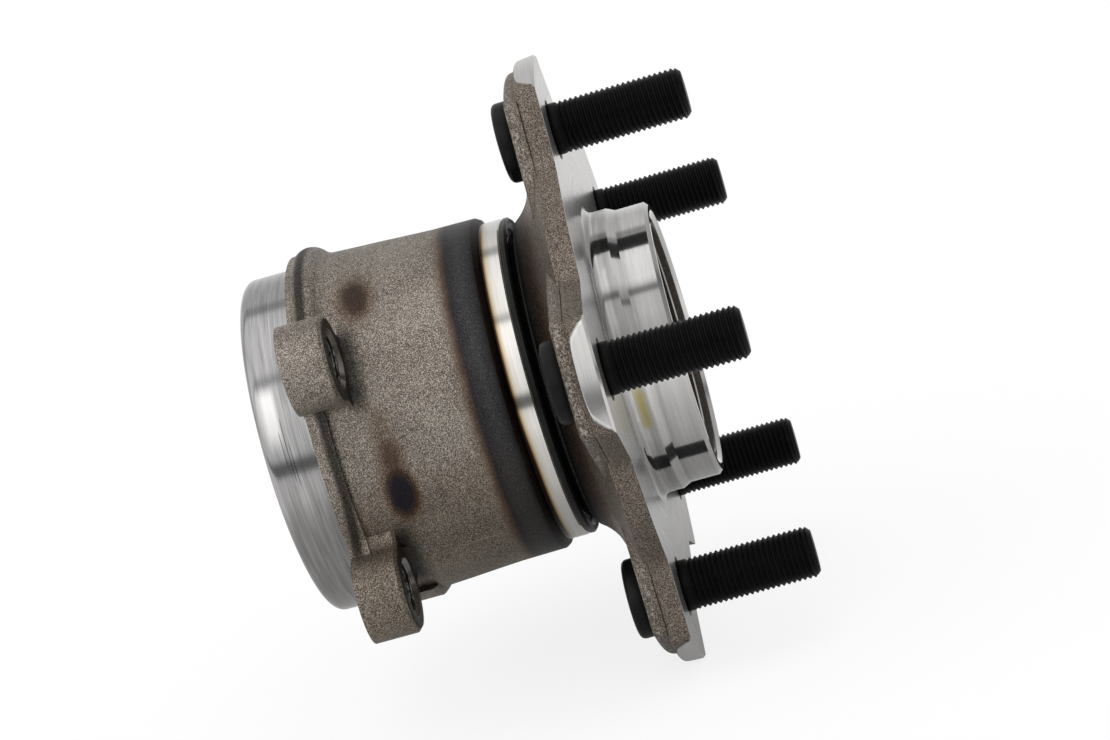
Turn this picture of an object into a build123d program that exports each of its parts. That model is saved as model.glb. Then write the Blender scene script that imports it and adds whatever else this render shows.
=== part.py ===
from build123d import *
from math import cos, radians, sin
import os

# Driven wheel hub bearing of the third generation: a flanged spindle and a flanged outer ring with two
# rows of angular-contact balls between them, arranged back to back.
# Millimetres. The hub axis lies along Y and +Y points outboard, to the wheel. +Z is up. The origin is the
# centre of the wheel mounting face.

# Wheel studs
STUD_COUNT = 5
STUD_PITCH_RADIUS = 114.3 / 2
STUD_FIRST_ANGLE = 13.0
STUD_THREAD_RADIUS = 6.0
STUD_TIP_CHAMFER = 1.2
STUD_THREAD_START = 0.0
STUD_NECK_RADIUS = 5.8
STUD_NECK_Y = -1.6
STUD_KNURL_RADIUS = 6.4
STUD_KNURL_Y = -2.2
STUD_REACH = 31.4
STUD_HEAD_RADIUS = 9.4
STUD_HEAD_THICKNESS = 4.2
STUD_HEAD_ROUND = 1.3
STUD_SEAT_RADIUS = 10.0
STUD_HOLE_COUNTERSINK_RADIUS = 7.15
STUD_HOLE_COUNTERSINK_DEPTH = 0.7

# Wheel flange
FLANGE_TIP_RADIUS = 73.3
FLANGE_TIP_CHAMFER = 0.6
FLANGE_VALLEY_RADIUS = 59.0
FLANGE_PLATE_THICKNESS = 5.0
FLANGE_PLATE_DRAFT = 6.0
FLANGE_PLATE_ROUND = 1.3
FLANGE_PAD_THICKNESS = 8.3
FLANGE_PAD_DRAFT = 8.0
FLANGE_PAD_ROUND = 1.8
FLANGE_ROOT_RADIUS = 50.0
LOBE_TIP_ARC_RADIUS = 44.0
LOBE_TIP_ARC_CENTRE = 30.0
LOBE_HALF_WIDTH = 12.8
LOBE_WIDTH_RADIUS = 72.27
LOBE_FLANK_SLOPE = 0.479
LOBE_TIP_CORNER = 2.5
LOBE_VALLEY_CORNER = 8.0
PAD_HALF_WIDTH = 11.6
PAD_TIP_RADIUS = 70.9
PAD_VALLEY_RADIUS = 50.0
PAD_TIP_CORNER = 2.0
PAD_ROOT_RADIUS = 46.0

# Wheel pilot
ROTOR_REGISTER_RADIUS = 34.0
ROTOR_REGISTER_END = 5.2
REGISTER_FILLET = 2.0
WHEEL_REGISTER_RADIUS = 33.05
WHEEL_REGISTER_START = 7.2
PILOT_END = 15.1
PILOT_MOUTH_RADIUS = 29.9
PILOT_EDGE_BREAK = 0.9
PILOT_MOUTH_DEPTH = 2.9
POCKET_CONE_RADIUS = 25.0
POCKET_CONE_Y = -1.5
NUT_FACE_RADIUS = 22.5
NUT_FACE_Y = -4.5

# Hub neck
NECK_LIP_RADIUS = 37.1
NECK_LIP_Y = -15.5
NECK_FLARE = (39.3, -13.05)
NECK_CONE_START = (42.7, -10.95)
NECK_CONE_END = (57.75, -5.5)
NECK_CONE_EDGE = (58.1, -4.75)
SEAL_FACE_Y = -16.0
SEAL_FILLET = 5.5

# Bearing
BALL_COUNT = 13
BALL_RADIUS = 11.906 / 2
BALL_PITCH_RADIUS = 29.0
RACE_CLEARANCE = 0.04
OUTBOARD_ROW_Y = -33.0
INBOARD_ROW_Y = -62.0
RACE_SHOULDER_ANGLE = 70.0
RACE_RELIEF_ANGLE = 10.0
INNER_RING_SEAT_RADIUS = 19.0
INNER_RING_START = -47.8
INNER_RING_END = -76.2
INNER_RING_BEVEL = 0.6
COLLAR_RADIUS = 24.2
COLLAR_END = -80.4
COLLAR_ROLL = 1.5

# Knuckle side
OUTER_RING_START = -19.0
OUTER_RING_END = -81.3
OUTER_RING_EDGE_BREAK = 0.4
TURNED_LAND_RADIUS = 38.45
TURNED_LAND_END = -23.7
FORGED_BODY = [(39.6, -24.2), (40.2, -25.2), (40.4, -36.0), (41.1, -48.0), (41.8, -61.0)]
BODY_END_RADIUS = 41.8
SPIGOT_RADIUS = 40.5
SEAT_RELIEF_WIDTH = 1.2
SEAT_RELIEF_DEPTH = 0.3
SPIGOT_LEAD_IN = 2.0
SPIGOT_BORE_BEVEL = 0.7
SEAT_Y = -69.0
EAR_FACE_Y = -58.0
EAR_RADIUS = 10.3
EAR_EDGE_BEVEL = 1.0
EAR_CENTRES = [(41.45, 27.95), (41.45, -27.95), (-45.7, 20.3), (-45.7, -20.3)]
EAR_HOLE_RADIUS = 6.0
EAR_HOLE_LEAD_IN = 1.0
EAR_BLEND_RADIUS = 4.0
EAR_FACE_BLEND = 2.0
WEB_THICKNESS = 4.5
WEB_RADIUS = 43.2
WEB_CORNER = 5.0
WEB_EAR_RADIUS = 9.0
WEB_VALLEY = [(41.7, -59.4), (42.2, -61.2), (43.2, -62.4)]
WEB_CREST = (44.4, -65.5)
WEB_CREST_X = -1.75
WEB_CREST_WIDTH = 73.5
FORGING_PAD_RADIUS = 43.2
FORGING_PAD_START = -55.0
FORGING_PAD_END = -62.5
FORGING_PAD_X = 4.0
FORGING_PAD_WIDTH = 44.0

# Drive spline
SPLINE_TEETH = 30
SPLINE_MINOR_RADIUS = 13.0
SPLINE_MAJOR_RADIUS = 14.0
SPLINE_LEAD_IN = 2.0
SPACE_HALF_WIDTH_MINOR = 0.85
SPACE_HALF_WIDTH_MAJOR = 0.55

# Seals and cages
SHEET = 0.8
LIP_GAP = 0.08
OUTBOARD_CASE_Y = -24.4
OUTBOARD_CASE_BORE = 29.4
INBOARD_CASE_Y = -71.2
INBOARD_CASE_BORE = 29.2
FLINGER_Y = -76.0
ENCODER_THICKNESS = 1.2
ENCODER_BORE = 28.6
BEAD_RADIUS = 38.35
CAGE_INNER_RADIUS = 27.3
CAGE_OUTER_RADIUS = 31.0
CAGE_BACK_OFFSET = 7.6
CAGE_PRONG_OFFSET = 3.2
POCKET_CLEARANCE = 0.12

RACE_RADIUS = BALL_RADIUS + RACE_CLEARANCE
SHOULDER_DROP = RACE_RADIUS * cos(radians(RACE_SHOULDER_ANGLE))
SHOULDER_REACH = RACE_RADIUS * sin(radians(RACE_SHOULDER_ANGLE))
RELIEF_DROP = RACE_RADIUS * cos(radians(RACE_RELIEF_ANGLE))
RELIEF_REACH = RACE_RADIUS * sin(radians(RACE_RELIEF_ANGLE))
INNER_SHOULDER_RADIUS = BALL_PITCH_RADIUS - SHOULDER_DROP
INNER_GROOVE_RADIUS = BALL_PITCH_RADIUS - RELIEF_DROP
OUTER_SHOULDER_RADIUS = BALL_PITCH_RADIUS + SHOULDER_DROP
OUTER_BORE_RADIUS = BALL_PITCH_RADIUS + RELIEF_DROP

STUD_ANGLES = [STUD_FIRST_ANGLE + 360 / STUD_COUNT * index for index in range(STUD_COUNT)]


def cross_plane(y):
    """Plane square to the hub axis at y. Its own x is X, its own y is Z, and extruding goes inboard."""
    return Plane(origin=(0, y, 0), x_dir=(1, 0, 0), z_dir=(0, -1, 0))


def turned(*edges):
    """Solid turned about the hub axis from a closed half-section, drawn as (radius, y)."""
    section = make_face(Curve() + list(edges))
    if section.face().normal_at().Z < 0:
        section = -section.face()
    return revolve(section, Axis.Y)


def turned_polygon(*points):
    """Turned solid whose half-section has straight sides."""
    return turned(Polyline(*points, close=True))


def around_axis(shape, angle):
    """Turns a shape about the hub axis, from +X towards +Z."""
    return Rot(0, -angle, 0) * shape


def lobed_outline(tip, half_width, tip_corner, valley_radius):
    """Flange outline: a disc with one tapered lobe per stud, each ended by the edge of the sketch tip."""
    root = 40.0
    beyond = FLANGE_TIP_RADIUS + 4

    def width_at(radius):
        return half_width + (LOBE_WIDTH_RADIUS - radius) * LOBE_FLANK_SLOPE

    flanks = Polyline(
        (root, -width_at(root)),
        (beyond, -width_at(beyond)),
        (beyond, width_at(beyond)),
        (root, width_at(root)),
        close=True,
    )
    lobe = make_face(flanks) & tip
    lobe = fillet(lobe.vertices().group_by(Axis.X)[-1], tip_corner)
    outline = Circle(valley_radius)
    for angle in STUD_ANGLES:
        outline += Rot(0, 0, angle) * lobe
    valleys = [v for v in outline.vertices() if abs(Vector(v).length - valley_radius) < 0.01]
    return fillet(valleys, LOBE_VALLEY_CORNER)


def outer_ring_body():
    """Turned and forged barrel with both outer raceways, the turned land, the seat and the spigot."""
    break_radius = TURNED_LAND_RADIUS - OUTER_RING_EDGE_BREAK
    lead_in_start = (SPIGOT_RADIUS, OUTER_RING_END + SPIGOT_LEAD_IN)
    lead_in_middle = (SPIGOT_RADIUS - 0.3 * SPIGOT_LEAD_IN, OUTER_RING_END + 0.3 * SPIGOT_LEAD_IN)
    lead_in_end = (SPIGOT_RADIUS - SPIGOT_LEAD_IN, OUTER_RING_END)
    return turned(
        Polyline(
            (OUTER_BORE_RADIUS, OUTBOARD_ROW_Y + RELIEF_REACH),
            (OUTER_BORE_RADIUS, OUTER_RING_START),
            (break_radius, OUTER_RING_START),
            (TURNED_LAND_RADIUS, OUTER_RING_START - OUTER_RING_EDGE_BREAK),
            (TURNED_LAND_RADIUS, TURNED_LAND_END),
            *FORGED_BODY,
            (BODY_END_RADIUS, SEAT_Y),
            (SPIGOT_RADIUS, SEAT_Y),
            lead_in_start,
        ),
        ThreePointArc(lead_in_start, lead_in_middle, lead_in_end),
        Polyline(
            lead_in_end,
            (OUTER_BORE_RADIUS + SPIGOT_BORE_BEVEL, OUTER_RING_END),
            (OUTER_BORE_RADIUS, OUTER_RING_END + SPIGOT_BORE_BEVEL),
            (OUTER_BORE_RADIUS, INBOARD_ROW_Y - RELIEF_REACH),
        ),
        CenterArc(
            (BALL_PITCH_RADIUS, INBOARD_ROW_Y),
            RACE_RADIUS,
            -RACE_RELIEF_ANGLE,
            RACE_RELIEF_ANGLE + RACE_SHOULDER_ANGLE,
        ),
        Line(
            (OUTER_SHOULDER_RADIUS, INBOARD_ROW_Y + SHOULDER_REACH),
            (OUTER_SHOULDER_RADIUS, OUTBOARD_ROW_Y - SHOULDER_REACH),
        ),
        CenterArc(
            (BALL_PITCH_RADIUS, OUTBOARD_ROW_Y),
            RACE_RADIUS,
            -RACE_SHOULDER_ANGLE,
            RACE_RELIEF_ANGLE + RACE_SHOULDER_ANGLE,
        ),
    )


def knuckle_web():
    """Thin flange that joins the four ears, with a rounded crest of forged metal above and below the body."""
    web = Circle(WEB_RADIUS)
    for x, z in EAR_CENTRES:
        web += Pos(x, z) * Circle(WEB_EAR_RADIUS)
    beside_ears = [v for v in web.vertices() if Vector(v).length < Vector(*EAR_CENTRES[0]).length]
    web = fillet(beside_ears, WEB_CORNER) - Circle(OUTER_BORE_RADIUS + 2)
    web = extrude(cross_plane(SEAT_Y + WEB_THICKNESS) * web, WEB_THICKNESS)

    inside = BODY_END_RADIUS - 0.8
    valley_start, valley_middle, valley_end = WEB_VALLEY
    crest_end = (WEB_RADIUS - 0.1, SEAT_Y + 1)
    crest = turned(
        Line((inside, valley_start[1]), valley_start),
        ThreePointArc(valley_start, valley_middle, valley_end),
        ThreePointArc(valley_end, WEB_CREST, crest_end),
        Polyline(crest_end, (inside, crest_end[1]), (inside, valley_start[1])),
    )
    return web + (crest & Pos(WEB_CREST_X, SEAT_Y, 0) * Box(WEB_CREST_WIDTH, 24, 3 * WEB_RADIUS))


def knuckle_ears():
    """Four round bosses for the knuckle's bolts, one pair closer than the other, blended into the body."""
    inside = BODY_END_RADIUS - 0.6
    bosses = Circle(inside)
    for x, z in EAR_CENTRES:
        bosses += Pos(x, z) * Circle(EAR_RADIUS)
    beside_body = [v for v in bosses.vertices() if abs(Vector(v).length - inside) < 0.01]
    ears = extrude(cross_plane(EAR_FACE_Y) * fillet(beside_body, EAR_BLEND_RADIUS), EAR_FACE_Y - SEAT_Y)
    ears = chamfer(ears.edges().group_by(Axis.Y)[-1], EAR_EDGE_BEVEL)
    ears -= Rot(90, 0, 0) * Cylinder(OUTER_BORE_RADIUS + 2, -3 * SEAT_Y)

    # Concave blend between an ear's face and the body.
    body_radius = BODY_END_RADIUS - 0.3
    blend_start = (body_radius, EAR_FACE_Y + EAR_FACE_BLEND)
    blend_end = (body_radius + EAR_FACE_BLEND, EAR_FACE_Y)
    hollow = EAR_FACE_BLEND * (1 - cos(radians(45)))
    inner_radius = body_radius - 1
    blend = turned(
        ThreePointArc(blend_start, (body_radius + hollow, EAR_FACE_Y + hollow), blend_end),
        Polyline(
            blend_end,
            (body_radius + EAR_FACE_BLEND, EAR_FACE_Y - 0.5),
            (inner_radius, EAR_FACE_Y - 0.5),
            (inner_radius, EAR_FACE_Y + EAR_FACE_BLEND),
            blend_start,
        ),
    )
    for x, z in EAR_CENTRES:
        ear_face = Cylinder(EAR_RADIUS - EAR_EDGE_BEVEL, 3 * EAR_FACE_BLEND)
        ears += blend & (Pos(x, EAR_FACE_Y, z) * Rot(90, 0, 0) * ear_face)
    return ears


def make_outer_ring():
    """Forged ring: spigot, tapped ears and web at the knuckle end, turned land at the seal end."""
    inside = BODY_END_RADIUS - 1.8
    pad = turned_polygon(
        (inside, FORGING_PAD_END),
        (FORGING_PAD_RADIUS, FORGING_PAD_END + 0.5),
        (FORGING_PAD_RADIUS, FORGING_PAD_START - 1.3),
        (FORGING_PAD_RADIUS - 0.8, FORGING_PAD_START - 0.3),
        (inside, FORGING_PAD_START),
    )
    pad &= Pos(FORGING_PAD_X, FORGING_PAD_START, -FORGING_PAD_RADIUS) * Box(FORGING_PAD_WIDTH, 20, 16)
    relief = turned_polygon(
        (SPIGOT_RADIUS, SEAT_Y),
        (SPIGOT_RADIUS + SEAT_RELIEF_WIDTH, SEAT_Y),
        (SPIGOT_RADIUS + SEAT_RELIEF_WIDTH, SEAT_Y + SEAT_RELIEF_DEPTH),
        (SPIGOT_RADIUS, SEAT_Y + SEAT_RELIEF_DEPTH),
    )
    lead_in_radius = EAR_HOLE_RADIUS + EAR_HOLE_LEAD_IN
    bolt_hole = turned_polygon(
        (0, EAR_FACE_Y + EAR_FACE_BLEND + 1),
        (lead_in_radius, EAR_FACE_Y + EAR_FACE_BLEND + 1),
        (lead_in_radius, EAR_FACE_Y),
        (EAR_HOLE_RADIUS, EAR_FACE_Y - EAR_HOLE_LEAD_IN),
        (EAR_HOLE_RADIUS, SEAT_Y + EAR_HOLE_LEAD_IN),
        (lead_in_radius, SEAT_Y),
        (lead_in_radius, SEAT_Y - 1),
        (0, SEAT_Y - 1),
    )

    ring = outer_ring_body() + knuckle_web() + knuckle_ears() + pad - relief
    for x, z in EAR_CENTRES:
        ring -= Pos(x, 0, z) * bolt_hole
    return ring


def spindle_blank():
    """Turned form of the spindle: pilot, flange root, seal face, outboard raceway, ring seat and collar."""
    flange_overlap = 55.0
    fillet_y = SEAL_FACE_Y - SEAL_FILLET
    register_corner = ROTOR_REGISTER_RADIUS + REGISTER_FILLET
    spline_mouth = SPLINE_MAJOR_RADIUS + 1.0
    return turned(
        Polyline(
            (SPLINE_MINOR_RADIUS, COLLAR_END + SPLINE_LEAD_IN),
            (spline_mouth, COLLAR_END),
            (COLLAR_RADIUS - COLLAR_ROLL, COLLAR_END),
            (COLLAR_RADIUS, COLLAR_END + COLLAR_ROLL),
            (COLLAR_RADIUS, INNER_RING_END - 0.8),
            (COLLAR_RADIUS - 0.8, INNER_RING_END),
            (INNER_RING_SEAT_RADIUS, INNER_RING_END),
            (INNER_RING_SEAT_RADIUS, INNER_RING_START),
            (INNER_GROOVE_RADIUS - INNER_RING_BEVEL, INNER_RING_START),
            (INNER_GROOVE_RADIUS, INNER_RING_START + INNER_RING_BEVEL),
            (INNER_GROOVE_RADIUS, OUTBOARD_ROW_Y - RELIEF_REACH),
        ),
        CenterArc(
            (BALL_PITCH_RADIUS, OUTBOARD_ROW_Y),
            RACE_RADIUS,
            180 - RACE_SHOULDER_ANGLE,
            RACE_RELIEF_ANGLE + RACE_SHOULDER_ANGLE,
        ),
        Line(
            (INNER_SHOULDER_RADIUS, OUTBOARD_ROW_Y + SHOULDER_REACH),
            (INNER_SHOULDER_RADIUS, fillet_y),
        ),
        CenterArc((INNER_SHOULDER_RADIUS + SEAL_FILLET, fillet_y), SEAL_FILLET, 90, 90),
        Polyline(
            (INNER_SHOULDER_RADIUS + SEAL_FILLET, SEAL_FACE_Y),
            (NECK_LIP_RADIUS - 0.5, SEAL_FACE_Y),
            (NECK_LIP_RADIUS, NECK_LIP_Y),
        ),
        ThreePointArc((NECK_LIP_RADIUS, NECK_LIP_Y), NECK_FLARE, NECK_CONE_START),
        Polyline(
            NECK_CONE_START,
            NECK_CONE_END,
            NECK_CONE_EDGE,
            (flange_overlap, -FLANGE_PLATE_THICKNESS / 2),
            (flange_overlap, 0),
            (register_corner, 0),
        ),
        CenterArc((register_corner, REGISTER_FILLET), REGISTER_FILLET, 180, 90),
        Polyline(
            (ROTOR_REGISTER_RADIUS, REGISTER_FILLET),
            (ROTOR_REGISTER_RADIUS, ROTOR_REGISTER_END),
            (WHEEL_REGISTER_RADIUS, WHEEL_REGISTER_START),
            (WHEEL_REGISTER_RADIUS, PILOT_END - PILOT_EDGE_BREAK),
            (WHEEL_REGISTER_RADIUS - PILOT_EDGE_BREAK, PILOT_END),
            (PILOT_MOUTH_RADIUS + PILOT_EDGE_BREAK, PILOT_END),
            (PILOT_MOUTH_RADIUS, PILOT_END - PILOT_EDGE_BREAK),
            (PILOT_MOUTH_RADIUS, PILOT_END - PILOT_MOUTH_DEPTH + 0.3),
            (PILOT_MOUTH_RADIUS - 0.6, PILOT_END - PILOT_MOUTH_DEPTH),
            (POCKET_CONE_RADIUS, POCKET_CONE_Y),
            (NUT_FACE_RADIUS, NUT_FACE_Y),
            (spline_mouth, NUT_FACE_Y),
            (SPLINE_MINOR_RADIUS, NUT_FACE_Y - SPLINE_LEAD_IN),
            (SPLINE_MINOR_RADIUS, COLLAR_END + SPLINE_LEAD_IN),
        ),
    )


def forged_plate(outline, front, thickness, draft, rounding, root_radius):
    """Part of the flange as forged: drafted towards the back, its back edge rounded, open in the middle."""
    plate = extrude(cross_plane(front) * outline, thickness, taper=draft)
    plate = fillet(plate.edges().group_by(Axis.Y)[0], rounding)
    return plate - Pos(0, front, 0) * Rot(90, 0, 0) * Cylinder(root_radius, 3 * thickness)


def wheel_flange():
    """Lobed flange: a plate in front, thicker pads behind it, and lobe tips turned to one diameter."""
    tip_arc = Pos(LOBE_TIP_ARC_CENTRE, 0) * Circle(LOBE_TIP_ARC_RADIUS)
    flange = forged_plate(
        lobed_outline(tip_arc, LOBE_HALF_WIDTH, LOBE_TIP_CORNER, FLANGE_VALLEY_RADIUS),
        0,
        FLANGE_PLATE_THICKNESS,
        FLANGE_PLATE_DRAFT,
        FLANGE_PLATE_ROUND,
        FLANGE_ROOT_RADIUS,
    )
    flange += forged_plate(
        lobed_outline(Circle(PAD_TIP_RADIUS), PAD_HALF_WIDTH, PAD_TIP_CORNER, PAD_VALLEY_RADIUS),
        -FLANGE_PLATE_THICKNESS,
        FLANGE_PAD_THICKNESS - FLANGE_PLATE_THICKNESS,
        FLANGE_PAD_DRAFT,
        FLANGE_PAD_ROUND,
        PAD_ROOT_RADIUS,
    )
    deep = -2 * FLANGE_PAD_THICKNESS
    turned_tips = turned_polygon(
        (0, 0),
        (FLANGE_TIP_RADIUS - FLANGE_TIP_CHAMFER, 0),
        (FLANGE_TIP_RADIUS, -FLANGE_TIP_CHAMFER),
        (FLANGE_TIP_RADIUS, deep),
        (0, deep),
    )
    return flange & turned_tips


def spline_spaces():
    """Tooth spaces of the drive spline, cut through the whole bore."""
    start = SPLINE_MINOR_RADIUS - 0.5
    space = make_face(
        Polyline(
            (start, -SPACE_HALF_WIDTH_MINOR),
            (SPLINE_MAJOR_RADIUS, -SPACE_HALF_WIDTH_MAJOR),
            (SPLINE_MAJOR_RADIUS, SPACE_HALF_WIDTH_MAJOR),
            (start, SPACE_HALF_WIDTH_MINOR),
            close=True,
        )
    )
    spaces = Sketch()
    for index in range(SPLINE_TEETH):
        spaces += Rot(0, 0, 360 / SPLINE_TEETH * index) * space
    return extrude(cross_plane(0) * spaces, 1 - COLLAR_END)


def make_hub_spindle():
    """Forged spindle with the wheel flange, the pilot, the outboard raceway and the splined bore."""
    hub = spindle_blank() + wheel_flange()
    seat = -FLANGE_PAD_THICKNESS
    through = 2 * seat
    stud_hole = turned_polygon(
        (0, 1),
        (STUD_HOLE_COUNTERSINK_RADIUS, 1),
        (STUD_HOLE_COUNTERSINK_RADIUS, 0),
        (STUD_KNURL_RADIUS, -STUD_HOLE_COUNTERSINK_DEPTH),
        (STUD_KNURL_RADIUS, seat),
        (STUD_SEAT_RADIUS, seat),
        (STUD_SEAT_RADIUS, through),
        (0, through),
    )
    for angle in STUD_ANGLES:
        hub -= around_axis(Pos(STUD_PITCH_RADIUS, 0, 0) * stud_hole, angle)
    return hub - spline_spaces()


def make_inner_ring():
    """Inboard inner race, pressed on the spindle's seat."""
    seat = INNER_RING_SEAT_RADIUS
    bevel = INNER_RING_BEVEL
    return turned(
        Polyline(
            (INNER_GROOVE_RADIUS, INBOARD_ROW_Y + RELIEF_REACH),
            (INNER_GROOVE_RADIUS, INNER_RING_START - bevel),
            (INNER_GROOVE_RADIUS - bevel, INNER_RING_START),
            (seat + bevel, INNER_RING_START),
            (seat, INNER_RING_START - bevel),
            (seat, INNER_RING_END + bevel),
            (seat + bevel, INNER_RING_END),
            (INNER_SHOULDER_RADIUS - bevel, INNER_RING_END),
            (INNER_SHOULDER_RADIUS, INNER_RING_END + bevel),
            (INNER_SHOULDER_RADIUS, INBOARD_ROW_Y - SHOULDER_REACH),
        ),
        CenterArc(
            (BALL_PITCH_RADIUS, INBOARD_ROW_Y),
            RACE_RADIUS,
            180 - RACE_RELIEF_ANGLE,
            RACE_RELIEF_ANGLE + RACE_SHOULDER_ANGLE,
        ),
    )


def make_wheel_stud(angle):
    """Pressed-in stud: round head behind the flange, knurled shank in it, thread towards the wheel."""
    seat = -FLANGE_PAD_THICKNESS
    head_back = seat - STUD_HEAD_THICKNESS
    third = STUD_HEAD_ROUND / 3
    stud = turned_polygon(
        (0, STUD_REACH),
        (STUD_THREAD_RADIUS - STUD_TIP_CHAMFER, STUD_REACH),
        (STUD_THREAD_RADIUS, STUD_REACH - STUD_TIP_CHAMFER),
        (STUD_THREAD_RADIUS, STUD_THREAD_START),
        (STUD_NECK_RADIUS, STUD_THREAD_START - 0.2),
        (STUD_NECK_RADIUS, STUD_NECK_Y),
        (STUD_KNURL_RADIUS, STUD_KNURL_Y),
        (STUD_KNURL_RADIUS, seat),
        (STUD_HEAD_RADIUS, seat),
        (STUD_HEAD_RADIUS, head_back + STUD_HEAD_ROUND),
        (STUD_HEAD_RADIUS - third, head_back + third),
        (STUD_HEAD_RADIUS - STUD_HEAD_ROUND, head_back),
        (0, head_back),
    )
    return around_axis(Pos(STUD_PITCH_RADIUS, 0, 0) * stud, angle)


def make_balls(row_y):
    """One row of balls, spaced evenly round the pitch circle."""
    ball = Pos(BALL_PITCH_RADIUS, row_y, 0) * Sphere(BALL_RADIUS)
    return [around_axis(ball, 360 / BALL_COUNT * index) for index in range(BALL_COUNT)]


def make_cage(row_y, outward):
    """Snap-in cage. Its ring lies on the outward side of the balls, +1 outboard or -1 inboard."""
    back = row_y + outward * CAGE_BACK_OFFSET
    tips = row_y - outward * CAGE_PRONG_OFFSET
    cage = turned_polygon(
        (CAGE_INNER_RADIUS, back),
        (CAGE_OUTER_RADIUS, back),
        (CAGE_OUTER_RADIUS, tips),
        (CAGE_INNER_RADIUS, tips),
    )
    # A pocket's poles lie on the radius through its ball, so that no pole or seam falls on the cage's wall.
    pocket = Rot(0, 90, 0) * Rot(0, 0, -90 * outward) * Sphere(BALL_RADIUS + POCKET_CLEARANCE)
    pocket = Pos(BALL_PITCH_RADIUS, row_y, 0) * pocket
    for index in range(BALL_COUNT):
        cage -= around_axis(pocket, 360 / BALL_COUNT * index)
    return cage


def make_outboard_seal():
    """Outboard seal: an angle ring pressed in the bore, and the rubber moulded on it."""
    bore = OUTER_BORE_RADIUS
    liner = bore - SHEET
    start = OUTER_RING_START
    leg = OUTBOARD_CASE_Y
    leg_face = leg + SHEET
    rim = start - 0.6
    lip_face = SEAL_FACE_Y - LIP_GAP
    case = turned_polygon(
        (bore, rim),
        (bore, leg),
        (OUTBOARD_CASE_BORE, leg),
        (OUTBOARD_CASE_BORE, leg_face),
        (liner, leg_face),
        (liner, rim),
    )
    rubber = turned_polygon(
        (liner, leg_face), (liner, rim), (bore, rim), (bore, start),
        # bead that laps over the ring's end face
        (BEAD_RADIUS - 0.45, start), (BEAD_RADIUS, -18.6), (BEAD_RADIUS, -17.8), (BEAD_RADIUS - 0.55, -17.3),
        (36.7, -17.4), (35.9, -18.3), (34.4, -18.6),
        # dust lip on the flange's back face
        (34.1, -18.1), (35.3, lip_face), (34.7, lip_face), (33.3, -18.0), (32.9, -20.5), (31.3, -22.0),
        # main lip on the spindle's fillet
        (28.75, -17.75), (28.6, -18.3), (30.1, -22.4),
        # grease lip on the spindle's shoulder
        (29.0, -22.7), (27.5, -22.0), (INNER_SHOULDER_RADIUS + LIP_GAP, -22.4), (28.6, leg_face),
    )
    return case, rubber


def make_inboard_seal():
    """Inboard seal: the case with its rubber in the spigot, the flinger and encoder on the inner ring."""
    bore = OUTER_BORE_RADIUS
    liner = bore - SHEET
    leg_face = INBOARD_CASE_Y - SHEET
    shoulder = INNER_SHOULDER_RADIUS
    sleeve = shoulder + SHEET
    flinger_inside = FLINGER_Y + SHEET
    flinger_rim = liner - 0.5
    encoder_rim = liner - 0.7
    encoder_face = FLINGER_Y - ENCODER_THICKNESS
    case = turned_polygon(
        (bore, INBOARD_CASE_Y), (bore, FLINGER_Y), (liner, FLINGER_Y), (liner, leg_face),
        (INBOARD_CASE_BORE, leg_face), (INBOARD_CASE_BORE, INBOARD_CASE_Y),
    )
    lip = turned_polygon(
        (liner, leg_face), (liner, -73.4), (33.0, -73.0),
        # dust lip on the flinger's inside face
        (32.4, flinger_inside + LIP_GAP), (31.8, flinger_inside + LIP_GAP), (31.9, -73.0), (29.9, -73.0),
        # main lip on the flinger's sleeve
        (sleeve + LIP_GAP, -74.2), (sleeve + LIP_GAP, -73.6), (28.9, leg_face),
    )
    flinger = turned_polygon(
        (shoulder, -72.7), (sleeve, -72.7), (sleeve, flinger_inside), (flinger_rim, flinger_inside),
        (flinger_rim, FLINGER_Y), (shoulder + 0.3, FLINGER_Y), (shoulder, FLINGER_Y + 0.3),
    )
    encoder = turned_polygon(
        (ENCODER_BORE, FLINGER_Y),
        (encoder_rim, FLINGER_Y),
        (encoder_rim, encoder_face),
        (ENCODER_BORE, encoder_face),
    )
    return case, lip, flinger, encoder


nodes = {
    "outer_ring": make_outer_ring(),
    "hub_spindle": make_hub_spindle(),
    "inner_ring": make_inner_ring(),
    "outboard_cage": make_cage(OUTBOARD_ROW_Y, 1),
    "inboard_cage": make_cage(INBOARD_ROW_Y, -1),
}
for index, angle in enumerate(STUD_ANGLES, start=1):
    nodes[f"wheel_stud_{index}"] = make_wheel_stud(angle)
for row, row_y in (("outboard", OUTBOARD_ROW_Y), ("inboard", INBOARD_ROW_Y)):
    for index, ball in enumerate(make_balls(row_y), start=1):
        nodes[f"{row}_ball_{index:02d}"] = ball
nodes["outboard_seal_case"], nodes["outboard_seal_lip"] = make_outboard_seal()
(
    nodes["inboard_seal_case"],
    nodes["inboard_seal_lip"],
    nodes["inboard_seal_slinger"],
    nodes["abs_encoder_ring"],
) = make_inboard_seal()

os.makedirs("parts", exist_ok=True)
for name, shape in nodes.items():
    export_step(shape, f"parts/{name}.step")
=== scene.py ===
from math import cos, pi, radians, sin

import bmesh
import bpy
from mathutils import Matrix, Vector


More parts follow.
